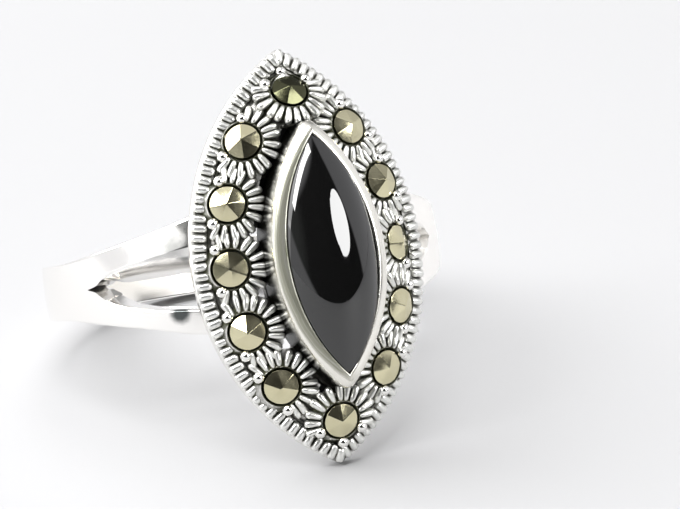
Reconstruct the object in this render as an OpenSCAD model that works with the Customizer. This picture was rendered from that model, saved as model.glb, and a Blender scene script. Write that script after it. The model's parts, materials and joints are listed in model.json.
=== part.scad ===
// Silver finger ring with a boat-shaped (navette) head. A domed onyx sits in a smooth collar,
// twelve round marcasites sit in cups around it with pierced gaps between, and a ribbed border
// runs round the edge. The shank forks into two arms on each side of the head.
// The ring is modelled about the finger axis and then laid on its side, as it rests by itself:
// on the lower tip of the head and on the back of the shank.

/* [Shank] */
// Diameter of the finger hole
finger_d = 18.1; // [14:0.1:22]
// Thickness of the shank, from the finger hole outwards
shank_t = 1.2; // [0.8:0.1:2]
// Width of the shank at the back
shank_w = 2.8; // [2:0.1:5]
// Crown of the shank's outer face, as a radius across it
crown_r = 14; // [8:1:40]
// Width over both arms beside the head
shoulder_w = 5.7; // [4:0.1:8]
// Distance from the middle of the ring at which the shank starts to widen
flare_x = 9.9; // [8:0.1:10.2]
// Distance from the middle of the ring at which the arms end under the head
arm_end_x = 4.95; // [4:0.05:5.5]
// Angle round the finger, from the middle of the head, of the fork
fork_angle = 61; // [50:1:75]
// Angle round the finger at which the gap between the arms is measured
gap_angle = 45; // [30:1:55]
// Half gap above the middle, at the arms' outer faces
gap_upper = 0.97; // [0.4:0.01:2]
// Half gap below the middle, at the arms' outer faces
gap_lower = 1.38; // [0.4:0.01:2]
// How far the upper arm leans away from the middle
spread_upper = 6.5; // [0:0.5:20]
// How far the lower arm leans away from the middle
spread_lower = 13.5; // [0:0.5:20]
// Slant of the upper arm's inner wall
slant_upper = 38; // [0:1:45]
// Slant of the lower arm's inner wall
slant_lower = 6; // [0:1:45]

/* [Head] */
// Half width of the head
head_half_w = 5.8; // [4:0.1:8]
// Radius of the two arcs of its outline
head_r = 11.5; // [8:0.1:16]
// Radius of its rounded tips
tip_r = 0.5; // [0.2:0.05:1]
// Height of the plate's edge above the finger axis
edge_z = 10.15; // [9:0.05:12]
// Pitch of the plate, from its edge up to the collar
pitch = 22; // [0:1:35]
// Thickness of the plate
plate_t = 0.85; // [0.6:0.05:1.2]
// Thickness of its outer edge
edge_t = 0.5; // [0.3:0.05:0.8]
// Thickness left under the onyx
floor_t = 0.5; // [0.3:0.05:1]
// Thickness of the roots that carry the plate on the arms
root_t = 1.0; // [0.6:0.05:1.5]
// Height of the roots' underside above the finger hole
root_lift = 0.3; // [0.1:0.05:1]
// Length of the border's ribs
rib_len = 0.76; // [0.4:0.02:1.2]
// Thickness of the border's ribs
rib_d = 0.36; // [0.2:0.02:0.6]
// Spacing of the border's ribs
rib_pitch = 0.46; // [0.3:0.01:1]

/* [Onyx and its collar] */
// Half width over the collar
collar_half_w = 2.7; // [2:0.05:4]
// Radius of the arcs of the collar
collar_r = 8.9; // [6:0.1:12]
// Radius of its rounded tips
collar_tip_r = 0.4; // [0.2:0.05:1]
// Thickness of the collar
collar_t = 0.5; // [0.2:0.02:0.6]
// Height of the collar's rim above the finger axis, at the middle
collar_z = 13.45; // [11:0.05:14]
// How far the rim falls towards the tips
rim_fall = 0.3; // [0.1:0.05:1]
// Radius of the tips of the onyx's seat
seat_tip_r = 0.15; // [0.1:0.05:0.6]
// Height of the onyx's seat above the finger axis
seat_z = 11.1; // [10:0.05:12]
// Width of the sunk channel round the collar
channel_w = 0.22; // [0.1:0.02:0.5]
// Height of the channel's floor above the finger axis
channel_z = 10.85; // [10:0.05:12]
// Height of the onyx's dome above its own edge
dome_h = 1.1; // [0.5:0.05:2.5]
// How far the onyx's edge lies below the collar's rim, at the middle
edge_drop = 0.05; // [0:0.05:0.6]
// Gap between a stone and the silver
stone_gap = 0.03; // [0.01:0.01:0.1]

/* [Marcasites] */
// Diameter of a marcasite
gem_d = 1.64; // [1:0.02:3]
// Height of the girdles above the finger axis
gem_z = 11.05; // [10:0.05:12]
// Rise of the main facets from the girdle to the point
gem_rise = 0.42; // [0.2:0.02:0.8]
// Width across the small flat table
table_w = 0.14; // [0.04:0.02:0.4]
// Depth of the stone below its girdle
gem_depth = 0.35; // [0.2:0.05:0.8]
// Width of the open ring between a stone and its cup
cup_gap = 0.12; // [0.02:0.01:0.2]
// Wall of a cup
cup_t = 0.16; // [0.1:0.01:0.4]
// Reach of the fan from the middle of the stone
fan_r = 1.6; // [1.2:0.02:2]
// Thickness of the fan's ribs
fan_rib_d = 0.26; // [0.16:0.02:0.4]
// Number of ribs on each fan
fan_ribs = 9; // [5:1:12]
// Angle between the first and the last rib of a fan
fan_sweep = 150; // [90:5:200]
// Diameter of a holding bead
bead_d = 0.48; // [0.2:0.02:0.6]
// Distance of a bead from the middle of its stone
bead_reach = 1.19; // [1:0.01:1.4]
// Width of a pierced gap
pierce_w = 0.66; // [0.3:0.02:1]

/* [Hidden] */
$fn = 96;

SILVER = "silver";
ONYX = "black";
PYRITE = "darkkhaki";

// Each marcasite, clockwise from the top tip: place across and along the head, tilt, turn of its facets
GEMS = [
    [0, 7.86, 36, 12], [2.68, 5.79, 22, 0], [3.90, 3.01, 22, 35],
    [4.24, 0, 22, 20], [3.90, -3.01, 22, 5], [2.68, -5.79, 22, 50],
    [0, -7.86, 18, 15], [-2.68, -5.79, 18, 25], [-3.90, -3.01, 20, 0],
    [-4.24, 0, 21, 40], [-3.90, 3.01, 20, 12], [-2.68, 5.79, 20, 5],
];

bore_r = finger_d / 2;
shank_r = bore_r + shank_t;
arc_x = head_r - head_half_w;
collar_x = collar_r - collar_half_w;
fall = tan(pitch);
gem_r = gem_d / 2;
cup_r = gem_r + cup_gap;
reach = 40;

// Rest on the floor: the head's lower tip and the back of the shank touch it
tip_y = sqrt(pow(head_r - tip_r, 2) - pow(arc_x, 2)) + tip_r;
low_z = edge_z - edge_t;
crown_drop = crown_r - sqrt(pow(crown_r, 2) - pow(shank_w / 2, 2));
back_z = shank_r - crown_drop;
lean = atan((tip_y - shank_w / 2) / (low_z + back_z));
rest_drop = tip_y * cos(lean) - low_z * sin(lean);
collar_tip_y = sqrt(pow(collar_r - collar_tip_r, 2) - pow(collar_x, 2)) + collar_tip_r;
front_y = -((collar_z - rim_fall) * cos(lean) + collar_tip_y * sin(lean));
rear_y = back_z * cos(lean) + shank_w / 2 * sin(lean);
shift_y = -(front_y + rear_y) / 2;

// Turns the ring from its own frame (finger axis along Y, head towards Z) to the way it lies
module laid() {
    translate([0, shift_y, rest_drop]) rotate([90 - lean, 0, 0]) children();
}

// Outline of two equal arcs whose centres lie x either side of the middle, with sharp tips
module pointed_navette(r, x) {
    intersection() {
        translate([-x, 0]) circle(r);
        translate([x, 0]) circle(r);
    }
}

// The same outline with rounded tips
module navette(r, x, tip) {
    centre_y = sqrt(pow(r - tip, 2) - x * x);
    touch_y = centre_y * r / (r - tip);
    intersection() {
        pointed_navette(r, x);
        square([2 * r, 2 * touch_y], center = true);
    }
    for (side = [-1, 1]) translate([0, side * centre_y]) circle(tip);
}

// Everything under the plate's pitched surface, moved up by lift. The two cones go on past the
// outline and past the middle by enough to hold the whole head.
module under_pitch(lift) {
    low = 4;
    high = 8;
    intersection() {
        translate([-arc_x, 0, edge_z + lift - low * fall])
            cylinder(h = (low + high) * fall, r1 = head_r + low, r2 = head_r - high);
        translate([arc_x, 0, edge_z + lift - low * fall])
            cylinder(h = (low + high) * fall, r1 = head_r + low, r2 = head_r - high);
    }
}

module plate() {
    intersection() {
        translate([0, 0, low_z]) linear_extrude(collar_z) navette(head_r, arc_x, tip_r);
        under_pitch(0);
    }
}

// Hollow back of the head, under the plate
module hollow() {
    intersection() {
        under_pitch(-plate_t);
        linear_extrude(seat_z - floor_t) square(reach, center = true);
    }
}

// Upright roots between the arms and the plate, forked as the arms are
module roots() {
    lap = 0.15;
    root_h = 3;
    middle = [arm_end_x + lap - root_t / 2, 0, low_z + lap - root_h / 2];
    difference() {
        for (side = [0, 1]) mirror([side, 0, 0]) translate(middle)
            cube([root_t, shoulder_w, root_h], center = true);
        rotate([90, 0, 0]) cylinder(h = reach, r = bore_r + root_lift, center = true);
        for (side = [0, 1]) mirror([side, 0, 0]) fork();
    }
}

// One rib across the edge of the plate, reaching inwards from the outline along -X
module border_rib(slope) {
    overhang = 0.1;
    translate([overhang, 0, 0]) rotate([0, slope - 90, 0])
        cylinder(h = rib_len, d = rib_d, $fn = 24);
}

// Ribs along both arcs and round both tips, square to the outline
module border() {
    step = rib_pitch / head_r * 180 / PI;
    last = floor(asin((tip_y - 2 * rib_d) / head_r) / step);
    side_lift = 0.04;
    side_slope = pitch - 3;
    tip_lift = 0.06;
    tip_slope = pitch - 6;
    tip_step = 42;
    for (side = [0, 180], i = [-last : last])
        rotate([0, 0, side]) translate([-arc_x, 0, edge_z + side_lift]) rotate([0, 0, i * step])
            translate([head_r, 0, 0]) border_rib(side_slope);
    for (side = [-1, 1], i = [-1 : 1])
        translate([0, side * (tip_y - tip_r), edge_z + tip_lift])
            rotate([0, 0, side * 90 + i * tip_step]) translate([tip_r, 0, 0]) border_rib(tip_slope);
}

// Direction from the middle of the head outwards, square to its outline, at a marcasite
function outward(g) = g[0] == 0 ? sign(g[1]) * 90 : atan2(g[1], g[0] + sign(g[0]) * arc_x);

// Puts a thing at a marcasite, in its own frame: X outwards, Z away from the finger
module at_gem(g) {
    translate([g[0], g[1], gem_z]) rotate([0, 0, outward(g)]) rotate([0, g[2], 0]) children();
}

// Wall round a marcasite, with a ribbed fan on its inner side
module cup_and_fan() {
    cup_foot = 0.7;
    rim_drop = 0.05;
    fan_drop = 0.33;
    web_r = fan_r - 0.08;
    rib_start = cup_r + 0.06;
    rib_drop = 0.17;
    rib_dip = 12;
    translate([0, 0, -cup_foot]) cylinder(h = cup_foot - rim_drop, r = cup_r + cup_t);
    translate([0, 0, -cup_foot]) cylinder(h = cup_foot - fan_drop, r = web_r);
    for (i = [0 : fan_ribs - 1])
        rotate([0, 0, 180 - fan_sweep / 2 + i * fan_sweep / (fan_ribs - 1)])
            translate([rib_start, 0, -rib_drop]) rotate([0, 90 + rib_dip, 0])
                cylinder(h = fan_r - rib_start, d = fan_rib_d, $fn = 24);
}

// Small round posts with domed heads that hold a marcasite on its outer side
module beads(angles) {
    post_h = 0.7;
    post_d = bead_d * 0.85;
    sink = 0.02;
    for (a = angles) rotate([0, 0, a]) translate([bead_reach, 0, -sink]) {
        sphere(d = bead_d, $fn = 24);
        translate([0, 0, -post_h]) cylinder(h = post_h, d = post_d, $fn = 24);
    }
}

// Two beads on the outer side of each marcasite, and three at the tips of the head
function bead_angles(g) = g[0] == 0 ? [-62, 4, 62] : [-60, 60];

// Three-sided hole through the plate, midway between two marcasites, beside the collar
module pierced_gap(a, b) {
    middle = [(a[0] + b[0]) / 2, (a[1] + b[1]) / 2];
    inset = 1.1;
    translate(middle) rotate([0, 0, outward(middle)]) translate([-inset, 0, 0])
        linear_extrude(collar_z) polygon([
            [-pierce_w / 2, -pierce_w / 2],
            [pierce_w / 2, 0],
            [-pierce_w / 2, pierce_w / 2],
        ]);
}

// Smooth wall round the onyx, with a rim that bows down towards its tips
module collar() {
    foot_z = edge_z + 0.5;
    bow_r = (collar_tip_y * collar_tip_y + rim_fall * rim_fall) / (2 * rim_fall);
    intersection() {
        translate([0, 0, foot_z]) linear_extrude(collar_z) navette(collar_r, collar_x, collar_tip_r);
        translate([0, 0, collar_z - bow_r]) rotate([0, 90, 0]) cylinder(h = reach, r = bow_r, center = true);
    }
}

// Seats for the thirteen stones
module seats() {
    ring_depth = 0.22;
    translate([0, 0, seat_z]) linear_extrude(reach)
        navette(collar_r - collar_t, collar_x, seat_tip_r);
    for (g = GEMS) at_gem(g) {
        translate([0, 0, -gem_depth - stone_gap]) cylinder(h = reach, r = gem_r + stone_gap);
        translate([0, 0, -ring_depth]) cylinder(h = reach, r = cup_r);
    }
}

// Plain ring round the finger, cut to its width and forked
module shank() {
    difference() {
        intersection() {
            rotate([90, 0, 0]) rotate_extrude() shank_section();
            shank_outline();
        }
        for (side = [0, 1]) mirror([side, 0, 0]) fork();
    }
}

// Half section of the band, with a slightly crowned outer face
module shank_section() {
    intersection() {
        translate([bore_r, -shoulder_w]) square([shank_t, 2 * shoulder_w]);
        translate([shank_r - crown_r, 0]) circle(crown_r);
    }
}

// Width of the shank as seen from the head: even at the back, widening towards the head
module shank_outline() {
    translate([-reach / 2, -shank_w / 2, -reach]) cube([reach, shank_w, reach]);
    for (side = [0, 1]) mirror([side, 0, 0]) linear_extrude(reach) polygon([
        [arm_end_x, -shoulder_w / 2],
        [flare_x, -shank_w / 2],
        [reach / 2, -shank_w / 2],
        [reach / 2, shank_w / 2],
        [flare_x, shank_w / 2],
        [arm_end_x, shoulder_w / 2],
    ]);
}

// Gap between the two arms on one side: two slanted walls and a round end at the fork
module fork() {
    half = 8;
    end_low_r = 0.35;
    end_high_r = 0.6;
    end_y = -0.1;
    intersection() {
        rotate([0, gap_angle, 0]) translate([0, gap_upper, shank_r])
            rotate([-slant_upper, 0, 0]) rotate([0, 0, -spread_upper])
                translate([-half, -2 * half, -half]) cube(2 * half);
        rotate([0, gap_angle, 0]) translate([0, -gap_lower, shank_r])
            rotate([slant_lower, 0, 0]) rotate([0, 0, spread_lower])
                translate([-half, 0, -half]) cube(2 * half);
        rotate([0, fork_angle, 0]) translate([-2 * half, -half, 0]) cube(2 * half);
    }
    rotate([0, fork_angle, 0]) translate([0, end_y, bore_r - shank_t])
        cylinder(h = 3 * shank_t, r1 = end_low_r, r2 = end_high_r);
}

module silver_ring() {
    color(SILVER) laid() difference() {
        union() {
            difference() {
                union() {
                    plate();
                    border();
                    for (g = GEMS) at_gem(g) cup_and_fan();
                }
                translate([0, 0, channel_z]) linear_extrude(reach)
                    navette(collar_r + channel_w, collar_x, collar_tip_r + channel_w);
                for (i = [0 : len(GEMS) - 1]) pierced_gap(GEMS[i], GEMS[(i + 1) % len(GEMS)]);
                hollow();
            }
            roots();
            for (g = GEMS) at_gem(g) beads(bead_angles(g));
            collar();
            shank();
        }
        seats();
    }
}

// Flat-backed stone with a dome that is an arc across and a flatter arc along
module onyx() {
    r = collar_r - collar_t - stone_gap;
    half_w = r - collar_x;
    half_l = sqrt(r * r - collar_x * collar_x);
    end_h = dome_h + rim_fall;
    axis_drop = (half_w * half_w - dome_h * dome_h) / (2 * dome_h);
    dome_r = (half_l * half_l + end_h * end_h) / (2 * end_h);
    dome_top = axis_drop + dome_h;
    color(ONYX) laid() intersection() {
        translate([0, 0, seat_z + stone_gap]) linear_extrude(reach)
            navette(r, collar_x, seat_tip_r - stone_gap);
        translate([0, 0, collar_z - edge_drop - axis_drop]) rotate([90, 0, 0])
            rotate_extrude() intersection() {
                translate([dome_top - dome_r, 0]) circle(dome_r);
                translate([0, -reach / 2]) square(reach);
            }
    }
}

// Round, flat-backed stone: six main facets to a tiny table, six small facets above the girdle
module marcasite(i) {
    g = GEMS[i];
    main_r = gem_r + 0.04;
    small_r = gem_r + 0.02;
    small_pitch = 39;
    small_top = 0.6;
    main_fall = gem_rise / main_r;
    flat = cos(30);
    top = gem_rise - table_w / 2 * main_fall;
    skirt = 0.5;
    color(PYRITE) laid() at_gem(g) rotate([0, 0, g[3]]) intersection() {
        translate([0, 0, -gem_depth]) cylinder(h = gem_depth + gem_rise, r = gem_r);
        translate([0, 0, -skirt])
            cylinder(h = skirt + top, r1 = (main_r + skirt / main_fall) / flat,
                r2 = table_w / 2 / flat, $fn = 6);
        rotate([0, 0, 30]) translate([0, 0, -skirt])
            cylinder(h = skirt + small_top, r1 = (small_r + skirt / tan(small_pitch)) / flat,
                r2 = (small_r - small_top / tan(small_pitch)) / flat, $fn = 6);
    }
}

silver_ring();
onyx();
marcasite(0);  // marcasite_01
marcasite(1);  // marcasite_02
marcasite(2);  // marcasite_03
marcasite(3);  // marcasite_04
marcasite(4);  // marcasite_05
marcasite(5);  // marcasite_06
marcasite(6);  // marcasite_07
marcasite(7);  // marcasite_08
marcasite(8);  // marcasite_09
marcasite(9);  // marcasite_10
marcasite(10);  // marcasite_11
marcasite(11);  // marcasite_12
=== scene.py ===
import json
import math
import random
from collections import namedtuple
from functools import partial

import bmesh
import bpy
from mathutils import Matrix, Vector


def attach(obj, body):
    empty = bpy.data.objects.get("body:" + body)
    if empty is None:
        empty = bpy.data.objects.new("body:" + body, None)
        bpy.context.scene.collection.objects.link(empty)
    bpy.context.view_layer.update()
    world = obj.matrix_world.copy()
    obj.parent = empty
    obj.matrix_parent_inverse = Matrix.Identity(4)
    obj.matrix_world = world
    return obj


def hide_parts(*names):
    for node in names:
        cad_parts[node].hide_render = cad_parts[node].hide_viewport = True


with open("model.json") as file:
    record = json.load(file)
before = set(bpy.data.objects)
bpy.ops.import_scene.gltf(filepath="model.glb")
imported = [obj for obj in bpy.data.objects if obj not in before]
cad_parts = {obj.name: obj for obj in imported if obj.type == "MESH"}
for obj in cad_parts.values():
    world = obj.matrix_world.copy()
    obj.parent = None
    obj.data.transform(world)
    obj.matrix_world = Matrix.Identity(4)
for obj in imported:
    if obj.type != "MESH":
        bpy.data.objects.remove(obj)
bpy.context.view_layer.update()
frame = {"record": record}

# Shank: a plain crowned band of sterling silver, cast, and soldered to the four roots of the head. It
# widens towards the head and forks into an upper and a lower arm on each side, a shorter fork on the
# right. It is polished to a mirror, satin on the right, and the left joints have dark grey patches.
bore = frame["record"]["mounts"][0]
lean = math.asin(bore["axis"][1])
# From the ring's own frame in mm (finger axis along Y, head towards Z) to the way the ring lies
laid = (Matrix.Translation(bore["pos_m"]) @ Matrix.Rotation(math.pi / 2 - lean, 4, "X")
        @ Matrix.Scale(0.001, 4))


def as_mesh(name, shape):
    """Turns a finished bmesh into a mesh."""
    mesh = bpy.data.meshes.new(name)
    shape.to_mesh(mesh)
    shape.free()
    return mesh


def in_scene(name, mesh):
    """Puts a mesh into the scene as an object."""
    thing = bpy.data.objects.new(name, mesh)
    bpy.context.scene.collection.objects.link(thing)
    return thing


def smoothed(mesh, crease):
    """Shades a mesh smooth, with sharp edges where its faces meet at more than a crease angle in degrees."""
    for face in mesh.polygons:
        face.use_smooth = True
    mesh.set_sharp_from_angle(angle=math.radians(crease))


def ring_piece(name, shape, finish, nodes, crease=38):
    """Lays a finished shape down as the ring lies, puts it in the scene under the root body and hides its CAD
    nodes.
    """
    bmesh.ops.transform(shape, matrix=laid, verts=shape.verts)
    mesh = as_mesh(name, shape)
    smoothed(mesh, crease)
    mesh.materials.append(finish)
    piece = in_scene(name, mesh)
    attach(piece, "root")
    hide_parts(*nodes)
    return piece


# The output that is taken from each kind of node
MAIN_OUTPUT = {
    "TexCoord": "Object", "Mapping": "Vector", "SeparateXYZ": "X", "TexNoise": "Fac", "AmbientOcclusion": "AO",
    "MapRange": "Result", "Mix": "Result", "Math": "Value", "VectorMath": "Value", "Bump": "Normal",
    "Background": "Background",
}


def node_tools(tree):
    """Returns two functions for a node tree: one adds a node and returns its output, one feeds a node."""

    def feed(node, inputs):
        for key, value in dict(inputs).items():
            if isinstance(value, bpy.types.NodeSocket):
                tree.links.new(value, node.inputs[key])
            else:
                node.inputs[key].default_value = value

    def add(kind, inputs=(), output=None, **settings):
        node = tree.nodes.new("ShaderNode" + kind)
        for key, value in settings.items():
            setattr(node, key, value)
        feed(node, inputs)
        output = output or MAIN_OUTPUT.get(kind)
        return node.outputs[output] if output else None

    return add, feed


def new_finish(name):
    """Returns a new material, a function that adds nodes to it, and one that feeds its shader."""
    finish = bpy.data.materials.new(name)
    finish.use_nodes = True
    add, feed = node_tools(finish.node_tree)
    return finish, add, partial(feed, finish.node_tree.nodes["Principled BSDF"])


# Dark grey patches on the left arms: angle round the finger, place across the band, reach, raggedness and
# strength
DARK_PATCHES = [(-36.8, -1.72, 0.55, 0.5, 0.95), (-36, 1.35, 0.8, 0.9, 0.5), (-42, 1.15, 0.6, 0.9, 0.35)]
DARK_PATCH_R = 10.2
# How far to the right, in metres, the mirror polish begins to turn satin and has turned
SATIN_FROM, SATIN_TO = 0.003, 0.005


def polished_silver():
    """Polished silver with soft wipe marks, hairline scratches and dark grey patches on the left arms."""
    finish, add, coat = new_finish("polished_silver")
    place = add("TexCoord")
    mottle = add("TexNoise", {"Vector": place, "Scale": 2400.0, "Detail": 5.0, "Roughness": 0.7})
    unpatched = None
    # Each dark grey patch darkens the silver round a point on the left arms
    for angle, across_band, reach, ragged, strength in DARK_PATCHES:
        turn, size = math.radians(angle), reach * 0.001
        centre = laid @ Vector((DARK_PATCH_R * math.sin(turn), across_band, DARK_PATCH_R * math.cos(turn)))
        gap = add("VectorMath", {0: place, 1: tuple(centre)}, operation="DISTANCE")
        blurred = add("Math", {0: mottle, 1: size * ragged, 2: gap}, operation="MULTIPLY_ADD")
        mark = add("MapRange", {"Value": blurred, "From Min": size * (1 - ragged / 2),
                                "From Max": size * (1 + ragged), "To Min": 1 - strength},
                   interpolation_type="SMOOTHSTEP")
        unpatched = mark if unpatched is None else add("Math", {0: unpatched, 1: mark}, operation="MULTIPLY")
    colour = add("Mix", {"Factor": unpatched, "A": (0.05, 0.06, 0.06, 1), "B": (0.95, 0.935, 0.91, 1)},
                 data_type="RGBA")
    cloud = add("TexNoise", {"Vector": place, "Scale": 420.0, "Detail": 4.0})
    wiped = add("MapRange", {"Value": cloud, "From Min": 0.3, "From Max": 0.7, "To Min": 0.1, "To Max": 0.22})
    satin = add("MapRange", {"Value": add("SeparateXYZ", {"Vector": place}), "From Min": SATIN_FROM,
                             "From Max": SATIN_TO, "To Max": 0.35})
    rough = add("Math", {0: wiped, 1: satin}, operation="ADD")
    along = add("Mapping", {"Vector": place, "Scale": (1.0, 1.0, 9.0)})
    hair = add("TexNoise", {"Vector": along, "Scale": 3600.0, "Detail": 3.0})
    wave = add("TexNoise", {"Vector": place, "Scale": 260.0, "Detail": 2.0})
    scratches = add("Bump", {"Height": hair, "Strength": 0.05, "Distance": 0.00001})
    dents = add("Bump", {"Height": wave, "Strength": 0.25, "Distance": 0.00006, "Normal": scratches})
    coat({"Base Color": colour, "Metallic": 1.0, "Roughness": rough, "Normal": dents})
    return finish


FINGER_R, SHANK_R, CROWN_R, RIM_ROUND = 9.05, 10.25, 14.0, 0.11
# Angles round the finger where the arms end and the left fork closes, and how much shorter the right fork is
ARM_END, FORK, RIGHT_SHORTER = 28.9, 66.3, 1.7
# Angle round the finger from the middle of the head, and a size at that angle
UPPER_EDGE = [(28, 2.83), (31, 2.73), (38, 2.44), (45, 2.19), (59, 1.79), (74, 1.46), (90, 1.39), (180, 1.4)]
LOWER_EDGE = [(28, 2.98), (35, 2.8), (46, 2.33), (63, 1.79), (76, 1.46), (90, 1.39), (180, 1.4)]
UPPER_GAP = [(28, 1.33), (40, 1.09), (46, 0.93), (53, 0.74), (58, 0.52), (60.5, 0.33), (62.3, 0.14), (66.3, 0)]
LOWER_GAP = [(28, 1.75), (34, 1.62), (44, 1.4), (55, 0.93), (59.5, 0.58), (61.5, 0.35), (63, 0.16), (66.3, 0)]
UPPER_GAP_INSIDE = [(28, 0.06), (47, 0.03), (57, 0.05), (60, 0.2), (61.5, 0.22), (62.6, 0.12), (66.3, 0)]
LOWER_GAP_INSIDE = [
    (28, 1.65), (42, 1.37), (51, 1.04), (57, 0.66), (60, 0.36), (62, 0.22), (63, 0.12), (66.3, 0),
]


def at_angle(table, angle):
    """Size at an angle, on a smooth curve through the table's values."""
    knots = [table[0]] + table + [table[-1]]
    i = 1
    while i < len(knots) - 3 and angle > knots[i + 1][0]:
        i += 1
    (a0, v0), (a1, v1), (a2, v2), (a3, v3) = knots[i - 1:i + 3]
    t = min(max((angle - a1) / (a2 - a1), 0), 1)
    m1 = (v2 - v0) / max(a2 - a0, 1) * (a2 - a1)
    m2 = (v3 - v1) / max(a3 - a1, 1) * (a2 - a1)
    return ((2 * t ** 3 - 3 * t * t + 1) * v1 + (t ** 3 - 2 * t * t + t) * m1
            + (3 * t * t - 2 * t ** 3) * v2 + (t ** 3 - t * t) * m2)


# The band starts as a strip of this many faces on each side of its middle, spun round the finger
STRIP_FACES, SPIN_STEPS = 9, 604
shank = bmesh.new()
first = [shank.verts.new((0, i / STRIP_FACES, SHANK_R)) for i in range(-STRIP_FACES, STRIP_FACES + 1)]
line = [shank.edges.new(pair) for pair in zip(first, first[1:])]
bmesh.ops.rotate(shank, cent=(0, 0, 0), matrix=Matrix.Rotation(math.radians(ARM_END), 3, "Y"), verts=first)
bmesh.ops.spin(shank, geom=first + line, cent=(0, 0, 0), axis=(0, 1, 0),
               angle=math.radians(360 - 2 * ARM_END), steps=SPIN_STEPS)


def around(point):
    """Angle of a point round the finger, from the middle of the head, in degrees."""
    return abs(math.degrees(math.atan2(point.x, point.z)))


def along_fork(point):
    """Angle of a point on the left fork, or of its likeness on the right fork, which is shorter."""
    angle = around(point)
    return ARM_END + (angle - ARM_END) * RIGHT_SHORTER if point.x > 0 else angle


slit = [e for e in shank.edges if all(abs(v.co.y) < 0.01 for v in e.verts)
        and max(along_fork(v.co) for v in e.verts) < FORK]
bmesh.ops.split_edges(shank, edges=slit)


def sides(verts):
    """Place of each vertex across the band, from -1 to 1, and the side of the slit that it is on."""
    return {v: (v.co.y, math.copysign(1, sum(f.calc_center_median().y for f in v.link_faces))) for v in verts}


across = sides(shank.verts)
skin = bmesh.ops.extrude_face_region(shank, geom=list(shank.faces))
inner = [g for g in skin["geom"] if isinstance(g, bmesh.types.BMVert)]
across.update(sides(inner))
inside = set(inner)
for v, (s, side) in across.items():
    upper_gap, lower_gap = (UPPER_GAP_INSIDE, LOWER_GAP_INSIDE) if v in inside else (UPPER_GAP, LOWER_GAP)
    gap = max(at_angle(upper_gap if side > 0 else lower_gap, min(along_fork(v.co), 180)), 0)
    half = at_angle(UPPER_EDGE if side > 0 else LOWER_EDGE, around(v.co))
    y = side * (gap + (half - gap) * abs(s))
    r = FINGER_R if v in inside else SHANK_R - CROWN_R + math.sqrt(CROWN_R ** 2 - y * y)
    turn = math.atan2(v.co.x, v.co.z)
    v.co = (r * math.sin(turn), y, r * math.cos(turn))
bmesh.ops.recalc_face_normals(shank, faces=shank.faces)
# The rims are rounded where two faces meet at more than CORNER, in radians. The arms' ends and the narrow
# inside of the fork's crotch stay sharp.
CORNER, CROTCH, CROTCH_HALF = 0.75, 59, 1.2
corners = [e for e in shank.edges if len(e.link_faces) == 2 and e.calc_face_angle(0) > CORNER
           and max(around(v.co) for v in e.verts) > ARM_END + 1
           and (max(abs(v.co.y) for v in e.verts) > CROTCH_HALF
                or max(along_fork(v.co) for v in e.verts) < CROTCH)]
bmesh.ops.bevel(shank, geom=corners, offset=RIM_ROUND, segments=3, profile=0.5, affect="EDGES", material=-1,
                clamp_overlap=True)
ring_piece("shank", shank, polished_silver(), ["silver_ring"])

# Head plate: a boat-shaped plate, cast thin and open behind. It slopes down from the collar to
# its edge, has a sunk channel round the collar, and a groove inside its border. Twelve
# three-sided holes are pierced through it, and its recesses are blackened.
HEAD_R, HEAD_X, HEAD_TIP = 11.5, 5.7, 0.5
EDGE_Z, EDGE_T, PLATE_T, FALL = 10.15, 0.5, 0.85, math.tan(math.radians(22))
COLLAR_R, COLLAR_X, COLLAR_TIP = 8.9, 6.2, 0.4
CHANNEL_W, CHANNEL_Z, CEILING_Z = 0.34, 10.85, 10.55
SIDE_STEPS, TIP_STEPS = 56, 6


def oxidised_silver(name, reach=0.0004, black_below=0.38, bright_above=0.8, wave=0.5, sheen=0.16, stain=0.35,
                    metal=1.0, black=(0.045, 0.046, 0.036, 1), bright=(0.86, 0.85, 0.82, 1)):
    """Cast silver, black where it is closed in and polished bright where a cloth reaches."""
    finish, add, coat = new_finish(name)
    place = add("TexCoord")
    openness = add("AmbientOcclusion", {"Distance": reach}, samples=12)
    cloud = add("TexNoise", {"Vector": place, "Scale": 2600.0, "Detail": 3.0, "Roughness": 0.6})
    shift = add("Math", {0: cloud, 1: stain}, operation="MULTIPLY")
    clouded = add("Math", {0: openness, 1: shift}, operation="ADD")
    worn = add("MapRange", {"Value": clouded, "From Min": black_below + stain / 2,
                            "From Max": bright_above + stain / 2}, interpolation_type="SMOOTHSTEP")
    colour = add("Mix", {"Factor": worn, "A": black, "B": bright}, data_type="RGBA")
    rough = add("MapRange", {"Value": worn, "To Min": 0.5, "To Max": sheen})
    grain = add("TexNoise", {"Vector": place, "Scale": 5200.0, "Detail": 2.0})
    lumps = add("TexNoise", {"Vector": place, "Scale": 1500.0, "Detail": 2.0})
    fine = add("Bump", {"Height": grain, "Strength": wave * 0.5, "Distance": 0.00002})
    slow = add("Bump", {"Height": lumps, "Strength": wave, "Distance": 0.00008, "Normal": fine})
    coat({"Base Color": colour, "Metallic": metal, "Roughness": rough, "Normal": slow})
    return finish


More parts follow.
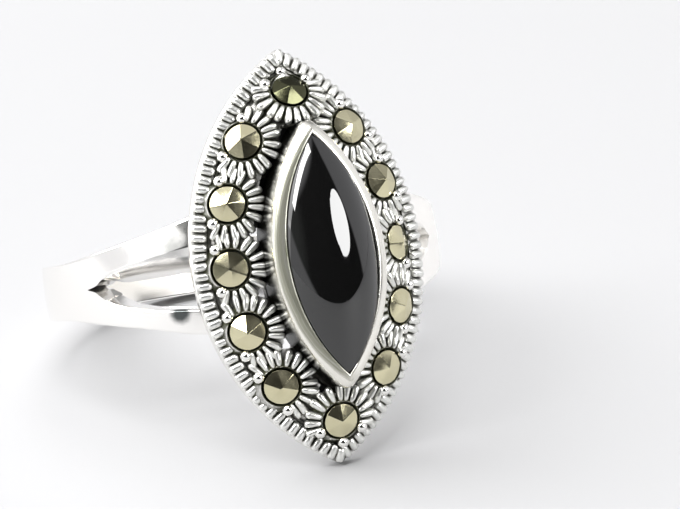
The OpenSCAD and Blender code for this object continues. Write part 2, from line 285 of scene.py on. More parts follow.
def navette_loop(shape, radius, centre_x, tip, height):
    """Closed loop of two arcs with rounded tips, spun from one vertex. Its height is a number or a rule."""
    centre_y = math.sqrt((radius - tip) ** 2 - centre_x ** 2)
    half = math.atan2(centre_y, centre_x)
    turns = [((-centre_x, 0, 0), 2 * half, SIDE_STEPS), ((0, centre_y, 0), math.pi - 2 * half, TIP_STEPS),
             ((centre_x, 0, 0), 2 * half, SIDE_STEPS), ((0, -centre_y, 0), math.pi - 2 * half, TIP_STEPS)]
    before = set(shape.verts)
    last = [shape.verts.new((radius * math.cos(half) - centre_x, -radius * math.sin(half), 0))]
    for centre, angle, steps in turns:
        spun = bmesh.ops.spin(shape, geom=last, cent=centre, axis=(0, 0, 1), angle=angle, steps=steps)
        last = [g for g in spun["geom_last"] if isinstance(g, bmesh.types.BMVert)]
    bmesh.ops.remove_doubles(shape, verts=[v for v in shape.verts if v not in before], dist=0.0005)
    loop = {v for v in shape.verts if v not in before}
    for v in loop:
        v.co.z = height(v.co.x, v.co.y) if callable(height) else height
    return [e for e in shape.edges if e.verts[0] in loop]


def lofted(shape, loops, closed=True):
    """Joins a row of loops into one skin, and closes its ends."""
    for low, high in zip(loops, loops[1:]):
        bmesh.ops.bridge_loops(shape, edges=low + high)
    if closed:
        for loop in (loops[0], loops[-1]):
            bmesh.ops.contextual_create(shape, geom=loop)
    bmesh.ops.recalc_face_normals(shape, faces=shape.faces)


def slope_z(x, y, lift=0.0):
    """Height of the plate's sloping face, or of a face that lies a little above or below it."""
    return EDGE_Z + (HEAD_R - math.hypot(abs(x) + HEAD_X, y)) * FALL + lift


def back_z(x, y):
    """Height of the plate's back, which is level at the edge and under the collar."""
    return min(max(slope_z(x, y) - PLATE_T, EDGE_Z - EDGE_T), CEILING_Z)


# How far in from the head's outline, the rounding of the tips, and the height, from the middle of the
# back round the edge and over the groove to the channel
PLATE_SECTION = [
    (3.22, 0.05, CEILING_Z), (2.0, 0.1, back_z), (0.88, 0.1, back_z), (0.12, HEAD_TIP - 0.1, EDGE_Z - EDGE_T),
    (0.05, HEAD_TIP, EDGE_Z - EDGE_T + 0.05), (0.02, HEAD_TIP, EDGE_Z - 0.1),
    (0.09, HEAD_TIP - 0.06, EDGE_Z - 0.02), (0.74, 0.1, partial(slope_z, lift=-0.06)),
    (0.79, 0.1, partial(slope_z, lift=-0.17)), (0.9, 0.1, partial(slope_z, lift=-0.17)),
    (0.97, 0.1, partial(slope_z, lift=-0.02)), (1.08, 0.1, partial(slope_z, lift=0.03)), (1.8, 0.1, slope_z),
]
plate = bmesh.new()
plate_loops = [navette_loop(plate, HEAD_R - inset, HEAD_X, tip, height) for inset, tip, height in PLATE_SECTION]
lofted(plate, plate_loops + [
    navette_loop(plate, COLLAR_R + CHANNEL_W, COLLAR_X, COLLAR_TIP + CHANNEL_W, slope_z),
    navette_loop(plate, COLLAR_R + CHANNEL_W, COLLAR_X, COLLAR_TIP + CHANNEL_W, CHANNEL_Z),
    navette_loop(plate, COLLAR_R - 0.1, COLLAR_X, COLLAR_TIP, CHANNEL_Z),
])
oxide = oxidised_silver("blackened_plate", reach=0.0007, black_below=0.34, bright_above=0.84, wave=0.6,
                        sheen=0.24, black=(0.08, 0.08, 0.066, 1))
plate_piece = ring_piece("head_plate", plate, oxide, ["silver_ring"])

# Places of the holes on one side, across and along the head
HOLES = [(0.5, 5.95), (1.9, 3.72), (2.72, 1.42), (2.88, -1.28), (2.06, -3.86), (0.62, -6.12)]
PIERCE_R, PIERCE_ROUND, PIERCE_HALF, PIERCE_Z = 0.47, 0.17, 3, 11.1
# Side and number of the holes that were pierced at a slant, in degrees
SLANTED, SLANT = [(-1, 0), (-1, 1), (-1, 5)], 27


def outward(x, y):
    """Direction from the middle of the head outwards, square to its outline, in degrees."""
    return math.copysign(90, y) if x == 0 else math.degrees(math.atan2(y, x + math.copysign(HEAD_X, x)))


holes = bmesh.new()
for side in (-1, 1):
    for i, (x, y) in enumerate(HOLES):
        heading = math.radians(outward(side * x, y))
        ring = bmesh.ops.create_circle(holes, cap_ends=True, segments=3, radius=PIERCE_R)["verts"]
        bmesh.ops.transform(holes, matrix=Matrix.Rotation(heading + math.pi / 6 * 5, 4, "Z"), verts=ring)
        prism = bmesh.ops.extrude_face_region(holes, geom=list({f for v in ring for f in v.link_faces}))
        top = [g for g in prism["geom"] if isinstance(g, bmesh.types.BMVert)]
        bmesh.ops.translate(holes, vec=(0, 0, -PIERCE_HALF), verts=ring)
        bmesh.ops.translate(holes, vec=(0, 0, PIERCE_HALF), verts=top)
        slant = SLANT if (side, i) in SLANTED else 0
        place = Matrix.Translation((side * x, y, PIERCE_Z)) @ Matrix.Rotation(math.radians(slant), 4, "Y")
        bmesh.ops.transform(holes, matrix=place, verts=ring + top)
upright = [e for e in holes.edges if e.calc_length() > PIERCE_HALF]
bmesh.ops.bevel(holes, geom=upright, offset=PIERCE_ROUND, segments=4, profile=0.5, affect="EDGES", material=-1,
                clamp_overlap=True)
bmesh.ops.recalc_face_normals(holes, faces=holes.faces)
bmesh.ops.transform(holes, matrix=laid, verts=holes.verts)
piercing = in_scene("holes", as_mesh("holes", holes))


def pierce(piece):
    """Cuts the holes out of a piece and keeps the result as its mesh."""
    cut = piece.modifiers.new("cut", "BOOLEAN")
    cut.operation, cut.solver, cut.object = "DIFFERENCE", "EXACT", piercing
    bpy.context.view_layer.update()
    whole = piece.evaluated_get(bpy.context.evaluated_depsgraph_get())
    mesh = bpy.data.meshes.new_from_object(whole)
    piece.modifiers.clear()
    old, piece.data = piece.data, mesh
    bpy.data.meshes.remove(old)
    smoothed(mesh, 30)


pierce(plate_piece)

# The walls of the holes are black. A face is a wall where it is near a hole's middle, far from level and
# not high above the plate.
WALL_NEAR, WALL_LEVEL, WALL_ABOVE = 0.8, 0.55, 0.4
pit = oxidised_silver("black_holes", bright_above=1.6, black=(0.02, 0.02, 0.016, 1))
to_ring = laid.inverted()


def blacken_holes(piece):
    """Gives the walls of the pierced holes their own finish."""
    piece.data.materials.append(pit)
    for face in piece.data.polygons:
        spot = to_ring @ face.center
        near = min(math.hypot(abs(spot.x) - x, spot.y - y) for x, y in HOLES)
        level = abs((to_ring.to_3x3() @ face.normal).normalized().z)
        if near < WALL_NEAR and level < WALL_LEVEL and spot.z < slope_z(spot.x, spot.y, WALL_ABOVE):
            face.material_index = len(piece.data.materials) - 1


blacken_holes(plate_piece)

# Plugs: matt black discs with a crumbly bump, set in the three slanted holes. They make these
# holes look dark and hide what lies behind them.
PLUG_R, PLUG_H, PLUG_LIFT = 0.5, 0.2, 0.02
hole_plugs = bmesh.new()
for side, i in SLANTED:
    x, y = HOLES[i]
    plug = bmesh.ops.create_cone(hole_plugs, cap_ends=True, segments=16, radius1=PLUG_R, radius2=PLUG_R,
                                 depth=PLUG_H)
    bmesh.ops.translate(hole_plugs, vec=(side * x, y, CEILING_Z + PLUG_LIFT + PLUG_H / 2), verts=plug["verts"])
plug_finish, add, coat = new_finish("black_plug")
crumbs = add("TexNoise", {"Vector": add("TexCoord"), "Scale": 4000.0, "Detail": 3.0})
crust = add("Bump", {"Height": crumbs, "Strength": 0.4, "Distance": 0.00003})
coat({"Base Color": (0.012, 0.012, 0.01, 1), "Roughness": 0.75, "Normal": crust})
ring_piece("hole_plugs", hole_plugs, plug_finish, ["silver_ring"])

# Roots: four short uprights of silver between the ends of the arms and the back of the plate,
# soldered on and filed flush. They are smooth and a little duller than the arms.
ROOT_OUT, ROOT_IN, ROOT_LOW, ROOT_HIGH, ROOT_ROUND = 5.08, 4.15, 8.1, 9.8, 0.08
# Where the lower and the upper root begin and end across the band
ROOT_ENDS = [(-2.86, -2.0), (1.3, 2.78)]
roots = bmesh.new()
for side in (-1, 1):
    for low, high in ROOT_ENDS:
        block = bmesh.ops.create_cube(roots, size=1)["verts"]
        bmesh.ops.scale(roots, vec=(ROOT_OUT - ROOT_IN, high - low, ROOT_HIGH - ROOT_LOW), verts=block)
        bmesh.ops.translate(roots, vec=(side * (ROOT_OUT + ROOT_IN) / 2, (low + high) / 2,
                                        (ROOT_LOW + ROOT_HIGH) / 2), verts=block)
bmesh.ops.bevel(roots, geom=list(roots.edges), offset=ROOT_ROUND, segments=3, profile=0.5, affect="EDGES",
                material=-1, clamp_overlap=True)
satin = oxidised_silver("root_silver", reach=0.0005, black_below=0.2, bright_above=0.7, wave=0.25, sheen=0.28)
ring_piece("roots", roots, satin, ["silver_ring"])
# The plate's back is left as smooth as the roots
FACES_BACK = -0.3
head_way = (laid.to_3x3() @ Vector((0, 0, 1))).normalized()
plate_piece.data.materials.append(satin)
for face in plate_piece.data.polygons:
    if face.normal.dot(head_way) < FACES_BACK:
        face.material_index = len(plate_piece.data.materials) - 1

# Border: a row of short rounded ribs across the edge of the plate, like the teeth of a milgrain
# wheel, cast with it. The tops are polished and the narrow grooves between them are dark.
RIB_LENGTH, RIB_WIDTH, RIB_HEIGHT, RIB_PITCH, RIB_TILT = 0.76, 0.43, 0.5, 0.46, 17
# How far inside the plate's edge the ribs end, and how far they stand above it
RIB_INSIDE, RIB_LIFT = 0.03, 0.02
# How blunt the ends of a grain are, and how full its middle is
BLUNT, FULL = 0.5, 0.7


def grain_mesh(length, width, height, flare=0.0):
    """Short rounded rib along X from the origin, like a grain of rice, to be stamped many times."""
    shape = bmesh.new()
    bmesh.ops.create_uvsphere(shape, u_segments=10, v_segments=9, radius=1)
    bmesh.ops.rotate(shape, cent=(0, 0, 0), matrix=Matrix.Rotation(math.pi / 2, 3, "Y"), verts=shape.verts)
    for v in shape.verts:
        x = math.copysign(abs(v.co.x) ** BLUNT, v.co.x)
        swell = math.sqrt(max(1 - abs(x) ** (2 / BLUNT), 0)) if abs(v.co.x) < 1 else 0
        girth = math.hypot(v.co.y, v.co.z)
        if girth > 0:
            v.co.y *= swell ** FULL / girth
            v.co.z *= swell ** FULL / girth
        v.co = (length * (x + 1) / 2, v.co.y * width / 2 * (1 + flare * x), v.co.z * height / 2)
    return as_mesh("grain", shape)


def stamp(shape, mesh, place):
    """Adds a copy of a small mesh to a shape, at a place."""
    count = len(shape.verts)
    shape.from_mesh(mesh)
    shape.verts.ensure_lookup_table()
    bmesh.ops.transform(shape, matrix=place, verts=shape.verts[count:])


# The ribs are set out along a line that runs a little inside the plate's edge and bends round the tips
INSET, TIP_BEND = 0.2, 0.3
walk_r = HEAD_R - INSET
tip_y = math.sqrt((walk_r - TIP_BEND) ** 2 - HEAD_X ** 2)
half_turn = math.atan2(tip_y, HEAD_X)
side_run, tip_run = 2 * half_turn * walk_r, (math.pi - 2 * half_turn) * TIP_BEND
around_run = 2 * (side_run + tip_run)
teeth = round(around_run / RIB_PITCH)


def on_outline(run):
    """Point a little inside the plate's edge and the direction outwards, at a distance along the outline."""
    side = 1
    if run > side_run + tip_run:
        run, side = run - side_run - tip_run, -1
    if run < side_run:
        angle = run / walk_r - half_turn
        x, y = walk_r * math.cos(angle) - HEAD_X, walk_r * math.sin(angle)
    else:
        angle = half_turn + (run - side_run) / TIP_BEND
        x, y = TIP_BEND * math.cos(angle), tip_y + TIP_BEND * math.sin(angle)
    return side * x, side * y, angle + (0 if side > 0 else math.pi)


hand = random.Random(11)
border = bmesh.new()
tooth = grain_mesh(RIB_LENGTH, RIB_WIDTH, RIB_HEIGHT)
for i in range(teeth):
    x, y, angle = on_outline((i + 0.5) * around_run / teeth)
    place = (Matrix.Translation((x, y, EDGE_Z + RIB_LIFT + hand.uniform(-0.02, 0.02)))
             @ Matrix.Rotation(angle + hand.uniform(-0.08, 0.08), 4, "Z")
             @ Matrix.Translation((INSET - RIB_INSIDE, 0, 0)) @ Matrix.Rotation(math.pi, 4, "Z")
             @ Matrix.Rotation(-math.radians(RIB_TILT), 4, "Y")
             @ Matrix.Diagonal((hand.uniform(0.94, 1.03), hand.uniform(0.88, 1.06),
                                hand.uniform(0.9, 1.05), 1)))
    stamp(border, tooth, place)
# Small ribs that a cloth rubs bright: the same wear on the border and on the fans
RUBBED = dict(reach=0.00022, black_below=0.3, bright_above=0.75, stain=0.45, metal=0.85,
              black=(0.13, 0.13, 0.11, 1))
milgrain = oxidised_silver("milgrain_silver", wave=0.9, sheen=0.3, bright=(0.8, 0.8, 0.77, 1), **RUBBED)
ring_piece("border", border, milgrain, ["silver_ring"], crease=70)

# Cups and fans: a low cup round each marcasite, and round its inner side a fan of ribs like a
# scallop shell, all cast with the plate. The ring between stone and cup is black, and the ribs
# are rubbed bright.
Stone = namedtuple("Stone", "x y tilt turn pitch")
# Place of each marcasite across and along the head, its tilt outwards, and the turn and pitch of its facets
STONES = [Stone(*row) for row in (
    (0, 7.86, 31, 6, 24), (2.68, 5.79, 19, 18, 24), (3.90, 3.01, 21, 0, 27), (4.24, 0, 36, 30, 24),
    (3.90, -3.01, 29, 24, 21), (2.68, -5.79, 22, 6, 18), (0, -7.86, 18, 30, 21), (-2.68, -5.79, 18, 36, 24),
    (-3.90, -3.01, 20, 42, 27), (-4.24, 0, 20, 0, 18), (-3.90, 3.01, 20, 48, 24), (-2.68, 5.79, 28, 30, 24),
)]
STONE_Z = 11.05
# Radius and height round the cup, from its floor over the rim down to its foot and back
CUP_PROFILE = [
    (0.3, -0.75), (0.3, -0.3), (0.84, -0.3), (0.88, -0.22), (0.91, -0.1), (0.93, -0.02), (0.96, 0.01),
    (1.0, -0.02), (1.06, -0.13), (1.2, -0.26), (1.34, -0.38), (1.4, -0.5), (1.4, -0.75), (0.3, -0.75),
]
FAN_LENGTH, FAN_WIDTH, FAN_HEIGHT, FAN_FLARE = 0.9, 0.33, 0.46, 0.22
FAN_RIBS, FAN_TURN, FAN_R, FAN_Z, FAN_DROP = 13, 17.5, 0.94, -0.1, 11


def at_stone(stone):
    """Place of a marcasite's own frame: X outwards, Z away from the finger."""
    return (Matrix.Translation((stone.x, stone.y, STONE_Z))
            @ Matrix.Rotation(math.radians(outward(stone.x, stone.y)), 4, "Z")
            @ Matrix.Rotation(math.radians(stone.tilt), 4, "Y"))


def turned_mesh(profile, steps):
    """Mesh of a profile of radius and height turned round Z."""
    shape = bmesh.new()
    points = [shape.verts.new((r, 0, z)) for r, z in profile]
    edges = [shape.edges.new(pair) for pair in zip(points, points[1:])]
    bmesh.ops.spin(shape, geom=points + edges, cent=(0, 0, 0), axis=(0, 0, 1), angle=math.tau, steps=steps,
                   use_merge=True)
    bmesh.ops.remove_doubles(shape, verts=shape.verts, dist=0.0005)
    bmesh.ops.recalc_face_normals(shape, faces=shape.faces)
    return as_mesh("turned", shape)


cup_mesh = turned_mesh(CUP_PROFILE, 64)
rib = grain_mesh(FAN_LENGTH, FAN_WIDTH, FAN_HEIGHT, FAN_FLARE)
cups, fans = bmesh.new(), bmesh.new()
for stone in STONES:
    stamp(cups, cup_mesh, at_stone(stone))
    for i in range(FAN_RIBS):
        turn = 180 + (i - (FAN_RIBS - 1) / 2) * FAN_TURN
        swirl = hand.uniform(-0.12, 0.12)
        place = (at_stone(stone) @ Matrix.Rotation(math.radians(turn + hand.uniform(-1.5, 1.5)), 4, "Z")
                 @ Matrix.Translation((FAN_R, 0, FAN_Z + hand.uniform(-0.02, 0.02)))
                 @ Matrix.Rotation(swirl, 4, "Z")
                 @ Matrix.Rotation(math.radians(FAN_DROP + hand.uniform(-3, 3)), 4, "Y")
                 @ Matrix.Diagonal((hand.uniform(0.92, 1.02), hand.uniform(0.9, 1.1), 1, 1)))
        stamp(fans, rib, place)
recess = oxidised_silver("blackened_cups", black_below=0.74, bright_above=1.15, wave=0.4,
                         black=(0.06, 0.062, 0.04, 1))
cups_piece = ring_piece("cups", cups, recess, ["silver_ring"])
pierce(cups_piece)
blacken_holes(cups_piece)
bpy.data.objects.remove(piercing)
fan_silver = oxidised_silver("fan_silver", wave=0.8, sheen=0.28, bright=(0.8, 0.8, 0.76, 1), **RUBBED)
ring_piece("fans", fans, fan_silver, ["silver_ring"], crease=70)

# Beads: small grains of silver raised round each marcasite on its outer side and pushed over
# its edge to hold it. Each is rounded with a beading tool and bright.
BEAD_R, BEAD_OUT = 0.28, 1.15
BEAD_FOOT = [(0.25, -0.3), (0.27, -0.62), (0, -0.62)]
# Turns of the beads round a stone at a tip of the head, and round any other stone
TIP_BEADS, SIDE_BEADS = (-64, 4, 64), (-63, 63)
bead_top = [(BEAD_R * math.sin(math.radians(a)), BEAD_R * math.cos(math.radians(a))) for a in range(0, 101, 10)]
bead_mesh = turned_mesh(bead_top + BEAD_FOOT, 24)
beads = bmesh.new()
for stone in STONES:
    for angle in TIP_BEADS if stone.x == 0 else SIDE_BEADS:
        place = (at_stone(stone) @ Matrix.Rotation(math.radians(angle + hand.uniform(-3, 3)), 4, "Z")
                 @ Matrix.Translation((BEAD_OUT + hand.uniform(-0.03, 0.03), 0, hand.uniform(-0.1, -0.04))))
        stamp(beads, bead_mesh, place)
bead_silver = oxidised_silver("bead_silver", reach=0.00016, black_below=0.25, bright_above=0.5, wave=0.1,
                              sheen=0.17, stain=0.1)
ring_piece("beads", beads, bead_silver, ["silver_ring"], crease=70)

# Collar: a strip of silver bent round the onyx and soldered to the plate, then rubbed over the
# stone's edge. Its rim bows down towards the tips. Its colour is painted light: the left side is a
# painted olive reflection of the dark room, the outer corner and the right side are painted bright,
# and the foot is black, partly oxide and partly painted shade.
COLLAR_BOW, BOW_FROM = 0.3, 12
# How far in from the outside, and how high above the finger axis, up the wall and over the rim
COLLAR_SECTION = [
    (0.0, 10.7), (-0.03, 12.0), (-0.06, 12.96), (-0.05, 13.06), (-0.02, 13.15), (0.03, 13.225),
    (0.1, 13.3), (0.19, 13.37), (0.29, 13.425), (0.38, 13.46), (0.44, 13.475), (0.485, 13.475),
    (0.51, 13.455), (0.525, 13.4), (0.53, 13.2), (0.53, 12.4),
]
collar_tip_y = math.sqrt((COLLAR_R - COLLAR_TIP) ** 2 - COLLAR_X ** 2) + COLLAR_TIP


def bowed(z):
    """Rule for the height of the collar at a level: the foot is flat, and the rest bows down to the tips."""
    return lambda x, y: z - COLLAR_BOW * (y / collar_tip_y) ** 2 if z > BOW_FROM else z


collar = bmesh.new()
lofted(collar, [navette_loop(collar, COLLAR_R - inset, COLLAR_X, max(COLLAR_TIP - inset, 0.05), bowed(z))
                for inset, z in COLLAR_SECTION], closed=False)
# Heights over which the black foot, partly painted shade, fades out, and over which the painted bright corner
# gives way to the painted olive reflection
FOOT_FADE, CORNER_FADE = (12.1, 12.85), (13.15, 13.3)
# Places in metres across the head between which the painted olive reflection of the left side ends
OLIVE_REFLECTION_FADE = (-0.0008, 0.0006)


def rim_painted_light():
    """Silver painted bright on the right and at its outer corner, with painted bright streaks along the rim, a
    painted olive reflection on the left, and a foot that is partly oxide and partly painted shade.
    """
    finish, add, coat = new_finish("collar_silver")
    place = add("TexCoord")
    height = add("VectorMath", {0: place, 1: tuple(head_way)}, operation="DOT_PRODUCT")
    sway = add("TexNoise", {"Vector": place, "Scale": 500.0, "Detail": 2.0})
    bent = add("Math", {0: sway, 1: 0.00012, 2: height}, operation="MULTIPLY_ADD")
    streak = add("TexNoise", {"W": bent, "Scale": 16000.0, "Detail": 2.0}, noise_dimensions="1D")
    # Painted highlights: faint bright streaks along the rim
    lines = add("MapRange", {"Value": streak, "From Min": 0.35, "From Max": 0.65, "To Max": 0.4})
    # Painted light: the right side is painted bright, and the left side is painted olive as a reflection of the
    # dark room
    right = add("MapRange", {"Value": add("SeparateXYZ", {"Vector": place}), "From Min": OLIVE_REFLECTION_FADE[0],
                             "From Max": OLIVE_REFLECTION_FADE[1]}, interpolation_type="SMOOTHSTEP")
    foot_low, foot_high, corner_low, corner_high = ((laid @ Vector((0, 0, z))).dot(head_way)
                                                    for z in FOOT_FADE + CORNER_FADE)
    # Painted highlight on the outer corner
    corner = add("MapRange", {"Value": bent, "From Min": corner_low, "From Max": corner_high, "To Min": 0.9,
                              "To Max": 0.0}, interpolation_type="SMOOTHSTEP")
    bright = add("Math", {0: right, 1: corner}, operation="MAXIMUM")
    painted_bright = add("Math", {0: lines, 1: bright}, operation="MAXIMUM")
    colour = add("Mix", {"Factor": painted_bright, "A": (0.15, 0.155, 0.1, 1), "B": (0.88, 0.86, 0.8, 1)},
                 data_type="RGBA")
    # Painted shade, partly oxide: the foot of the wall is painted black
    above_foot = add("MapRange", {"Value": bent, "From Min": foot_low, "From Max": foot_high},
                     interpolation_type="SMOOTHSTEP")
    shaded = add("Mix", {"Factor": above_foot, "A": (0.02, 0.02, 0.016, 1), "B": colour}, data_type="RGBA")
    gleam = add("MapRange", {"Value": painted_bright, "To Min": 0.3})
    steps = add("Bump", {"Height": streak, "Strength": 0.25, "Distance": 0.00001})
    coat({"Base Color": shaded, "Metallic": gleam, "Roughness": 0.24, "Normal": steps})
    return finish


ring_piece("collar", collar, rim_painted_light(), ["silver_ring"], crease=50)

# Onyx: a boat-shaped cabochon of black onyx, flat at the back, with a high dome polished to a
# glassy gloss. It sits on a ledge inside the collar.
ONYX_R, ONYX_TIP, DOME_H, ONYX_EDGE_Z, ONYX_BACK_Z = 8.36, 0.12, 1.1, 13.4, 11.15
# Sizes of the loops that make the dome, as shares of its outline
DOME_LOOPS = (0.98, 0.94, 0.88, 0.8, 0.7, 0.6, 0.5, 0.4, 0.3, 0.2, 0.1, 0.03)
onyx_half_w = ONYX_R - COLLAR_X
onyx_half_l = math.sqrt(ONYX_R ** 2 - COLLAR_X ** 2)
end_h = DOME_H + COLLAR_BOW
axis_drop = (onyx_half_w ** 2 - DOME_H ** 2) / (2 * DOME_H)
dome_r = (onyx_half_l ** 2 + end_h ** 2) / (2 * end_h)


def dome_z(x, y):
    """Height of the dome: an arc across and a flatter arc along."""
    rho = axis_drop + DOME_H - dome_r + math.sqrt(dome_r ** 2 - y * y)
    return ONYX_EDGE_Z - axis_drop + math.sqrt(max(rho * rho - x * x, 0))


onyx = bmesh.new()
lofted(onyx, [
    navette_loop(onyx, ONYX_R, COLLAR_X, ONYX_TIP, ONYX_BACK_Z),
    navette_loop(onyx, ONYX_R, COLLAR_X, ONYX_TIP, dome_z),
] + [navette_loop(onyx, COLLAR_X + onyx_half_w * k, COLLAR_X, ONYX_TIP * k, dome_z) for k in DOME_LOOPS])


def black_onyx():
    """Dyed black onyx with a high polish; only its surface shows."""
    finish, add, coat = new_finish("black_onyx")
    smear = add("TexNoise", {"Vector": add("TexCoord"), "Scale": 700.0, "Detail": 3.0})
    rough = add("MapRange", {"Value": smear, "From Min": 0.35, "From Max": 0.7, "To Min": 0.015,
                             "To Max": 0.05})
    coat({"Base Color": (0.004, 0.004, 0.004, 1), "IOR": 1.75, "Roughness": rough})
    return finish


ring_piece("onyx_stone", onyx, black_onyx(), ["onyx"], crease=60)

# Marcasites: twelve round stones of cut pyrite, flat at the back, with six main facets that
# meet at a small table and six narrow ones above the edge. Each is glued and held by the beads.
GEM_R, GEM_DEPTH, GEM_BLANK_H, TABLE_AT, FACET_ROUND = 0.82, 0.35, 1.0, 0.94, 0.008
# The two rings of facets: how much steeper than the main pitch, the turn of the first facet, and how far
# outside the stone's edge the facets' planes meet its level
FACET_RINGS = [(0, 0, 0.04), (22, 30, 0.075)]
MAIN_SPARE = FACET_RINGS[0][2]
# Edges above the girdle whose facets meet at more than this angle, in radians, lose their sharpness
FACET_EDGE, GIRDLE_LOW = 0.2, -0.01


def cut_pyrite(name, deep, pale):
    """Polished iron pyrite: pale brassy metal with fine pits and slightly uneven facets."""
    finish, add, coat = new_finish(name)
    place = add("TexCoord")
    patch = add("TexNoise", {"Vector": place, "Scale": 1500.0, "Detail": 3.0})
    colour = add("Mix", {"Factor": patch, "A": deep, "B": pale}, data_type="RGBA")
    rough = add("MapRange", {"Value": patch, "To Min": 0.1, "To Max": 0.24})
    pits = add("TexNoise", {"Vector": place, "Scale": 9000.0, "Detail": 2.0})
    bump = add("Bump", {"Height": pits, "Strength": 0.15, "Distance": 0.00001})
    coat({"Base Color": colour, "Metallic": 1.0, "Roughness": rough, "Normal": bump})
    return finish


def slice_off(shape, normal, reach):
    """Grinds one flat facet: what lies further than reach along the normal goes, and the cut is closed."""
    geom = list(shape.verts) + list(shape.edges) + list(shape.faces)
    cut = bmesh.ops.bisect_plane(shape, geom=geom, plane_co=Vector(normal).normalized() * reach,
                                 plane_no=normal, clear_outer=True, dist=0.00001)
    rim = [g for g in cut["geom_cut"] if isinstance(g, bmesh.types.BMEdge) and len(g.link_faces) < 2]
    if rim:
        bmesh.ops.holes_fill(shape, edges=rim, sides=0)


pyrite = cut_pyrite("cut_pyrite", (0.56, 0.52, 0.33, 1), (0.70, 0.66, 0.47, 1))
# The stone at the top is painted dark: a painted reflection of the dim surroundings its facets face
painted_dark = cut_pyrite("painted_dark_pyrite", (0.045, 0.047, 0.025, 1), (0.11, 0.11, 0.065, 1))
for number, stone in enumerate(STONES, 1):
    gem = bmesh.new()
    bmesh.ops.create_cone(gem, cap_ends=True, segments=48, radius1=GEM_R, radius2=GEM_R, depth=GEM_BLANK_H,
                          matrix=Matrix.Translation((0, 0, GEM_BLANK_H / 2 - GEM_DEPTH)))
    for steeper, first_turn, spare in FACET_RINGS:
        for i in range(6):
            turn = math.radians(stone.turn + first_turn + 60 * i + hand.uniform(-2, 2))
            tilt = math.radians(stone.pitch + steeper + hand.uniform(-1, 1))
            normal = (math.sin(tilt) * math.cos(turn), math.sin(tilt) * math.sin(turn), math.cos(tilt))
            slice_off(gem, normal, (GEM_R + spare) * math.sin(tilt))
    slice_off(gem, (0, 0, 1), TABLE_AT * (GEM_R + MAIN_SPARE) * math.tan(math.radians(stone.pitch)))
    facets = [e for e in gem.edges if len(e.link_faces) == 2 and e.calc_face_angle(0) > FACET_EDGE
              and all(v.co.z > GIRDLE_LOW for v in e.verts)]
    bmesh.ops.bevel(gem, geom=facets, offset=FACET_ROUND, segments=1, profile=0.5, affect="EDGES", material=-1,
                    clamp_overlap=True)
    bmesh.ops.transform(gem, matrix=at_stone(stone), verts=gem.verts)
    ring_piece(f"gem_{number:02d}", gem, painted_dark if number == 1 else pyrite,
               [f"marcasite_{number:02d}"], crease=12)

# Floor: a plain sheet of matt white paper under the ring, larger than the picture shows. Its
# fibres give it a faint tooth.
SHEET_HALF = 0.9
sheet = bmesh.new()
bmesh.ops.create_grid(sheet, x_segments=2, y_segments=2, size=SHEET_HALF)
paper, add, coat = new_finish("white_paper")
fibre = add("TexNoise", {"Vector": add("TexCoord"), "Scale": 900.0, "Detail": 4.0})
felt = add("Bump", {"Height": fibre, "Strength": 0.04, "Distance": 0.0001})
coat({"Base Color": (0.46, 0.46, 0.465, 1), "Roughness": 0.7, "Normal": felt})
floor = in_scene("floor", as_mesh("floor", sheet))
floor.data.materials.append(paper)

# Light: white surroundings with a dark room in front of the ring. A long strip lamp hangs high on
# the left and a round soft box stands in front on the right; both show in the onyx. A window
# behind on the left, a soft box overhead and a small white card beside the left arm fill in.
head_centre = laid @ Vector((0, 0, 12))


def towards(azimuth, elevation):
    """Direction from the ring, with azimuth from the front, positive to the right, in degrees."""
    a, e = math.radians(azimuth), math.radians(elevation)
    return Vector((math.sin(a) * math.cos(e), -math.cos(a) * math.cos(e), math.sin(e)))


def soft_box(name, azimuth, elevation, distance, width, height, along, radiance, shape="RECTANGLE"):
    """Lamp that faces the ring, with its width and height in degrees. The camera doesn't see it."""
    data = bpy.data.lights.new(name, "AREA")
    data.shape = shape
    data.size = 2 * distance * math.tan(math.radians(width / 2))
    data.size_y = 2 * distance * math.tan(math.radians(height / 2))
    area = data.size * data.size_y * (math.pi / 4 if shape == "ELLIPSE" else 1)
    data.energy = radiance * math.pi * area
    lamp = bpy.data.objects.new(name, data)
    z = towards(azimuth, elevation)
    x = (along - z * along.dot(z)).normalized()
    axes = Matrix((x, z.cross(x), z)).transposed()
    lamp.matrix_world = Matrix.Translation(head_centre + z * distance) @ axes.to_4x4()
    lamp.visible_camera = False
    bpy.context.scene.collection.objects.link(lamp)
    return lamp


UP = towards(0, 90)
soft_box("strip_left", azimuth=-59, elevation=57, distance=1.2, width=60, height=6,
         along=towards(20, 76) - towards(-80, 28), radiance=20)
shine = soft_box("round_right", azimuth=36.5, elevation=31, distance=1.0, width=29, height=33, along=UP,
                 radiance=12, shape="ELLIPSE")
soft_box("window_back", azimuth=-112, elevation=38, distance=1.2, width=60, height=40, along=towards(158, 0),
         radiance=3.5)
soft_box("card_left", azimuth=-93, elevation=10, distance=0.0158, width=30, height=26, along=UP, radiance=1.3)
overhead = soft_box("overhead", azimuth=180, elevation=67, distance=1.2, width=50, height=50,
                    along=towards(90, 0), radiance=2.5)
# The round box shows in the polish but lights nothing matt, and the one overhead does the opposite
shine.visible_diffuse = False
overhead.visible_glossy = False

# The surroundings: pale walls, a little darker behind on the right, and the dark room, a little paler at
# its left end
world = bpy.data.worlds.new("studio")
world.use_nodes = True
world.node_tree.nodes.clear()
bpy.context.scene.world = world
add = node_tools(world.node_tree)[0]
way = add("TexCoord", output="Generated")


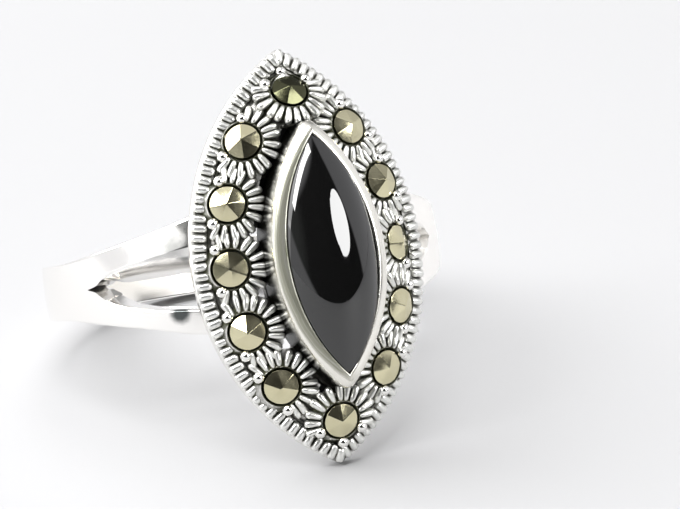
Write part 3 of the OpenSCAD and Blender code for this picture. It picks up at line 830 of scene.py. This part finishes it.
def beyond(direction, edge, soft=0.04):
    """Mask that is 1 where the surroundings lie further along a direction than an edge."""
    reach = add("VectorMath", {0: way, 1: tuple(direction)}, operation="DOT_PRODUCT")
    return add("MapRange", {"Value": reach, "From Min": edge - soft, "From Max": edge + soft},
               interpolation_type="SMOOTHSTEP")


def blend(mask, outside, within):
    """Colour of the surroundings outside a mask and within it; either may be the result of another blend."""
    return add("Mix", {"Factor": mask, "A": outside, "B": within}, data_type="RGBA")


# The dark room lies beyond a low, a right and a high edge, each a direction and how far along it
LOW_EDGE, RIGHT_EDGE = ((0.220, -0.313, 0.924), 0.095), ((-0.705, -0.642, -0.300), -0.373)
HIGH_EDGE = ((0.332, -0.467, -0.819), -0.604)
low, right, high = (beyond(direction, edge) for direction, edge in (LOW_EDGE, RIGHT_EDGE, HIGH_EDGE))
dark = add("Math", {0: add("Math", {0: low, 1: right}, operation="MULTIPLY"), 1: high}, operation="MULTIPLY")
shade_behind = beyond(towards(140, 42), 0.88, 0.08)
walls = blend(shade_behind, (0.9, 0.9, 0.92, 1), (0.3, 0.3, 0.3, 1))
faint_left = beyond(towards(-85, 8), 0.86, 0.1)
gloom = blend(faint_left, (0.03, 0.03, 0.03, 1), (0.2, 0.21, 0.2, 1))
glow = add("Background", {"Color": blend(dark, walls, gloom), "Strength": 1.0})
add("OutputWorld", {"Surface": glow})
bpy.context.scene.view_settings.view_transform = "Standard"

# Camera: the photograph's viewpoint, a long lens about a hand's breadth from the ring, fitted to
# the stones and the outline of the head.
LENS, SENSOR, NEAREST, FARTHEST = 112.07, 36, 0.01, 5
CAMERA_AT = (-0.034587, -0.092987, 0.048028)
CAMERA_TILT, CAMERA_ROLL, CAMERA_HEADING = 67.364, 0.124, -22.886
view = bpy.data.cameras.new("camera")
view.lens, view.sensor_width, view.clip_start, view.clip_end = LENS, SENSOR, NEAREST, FARTHEST
camera = bpy.data.objects.new("camera", view)
camera.location = CAMERA_AT
camera.rotation_euler = [math.radians(a) for a in (CAMERA_TILT, CAMERA_ROLL, CAMERA_HEADING)]
bpy.context.scene.collection.objects.link(camera)
bpy.context.scene.camera = camera
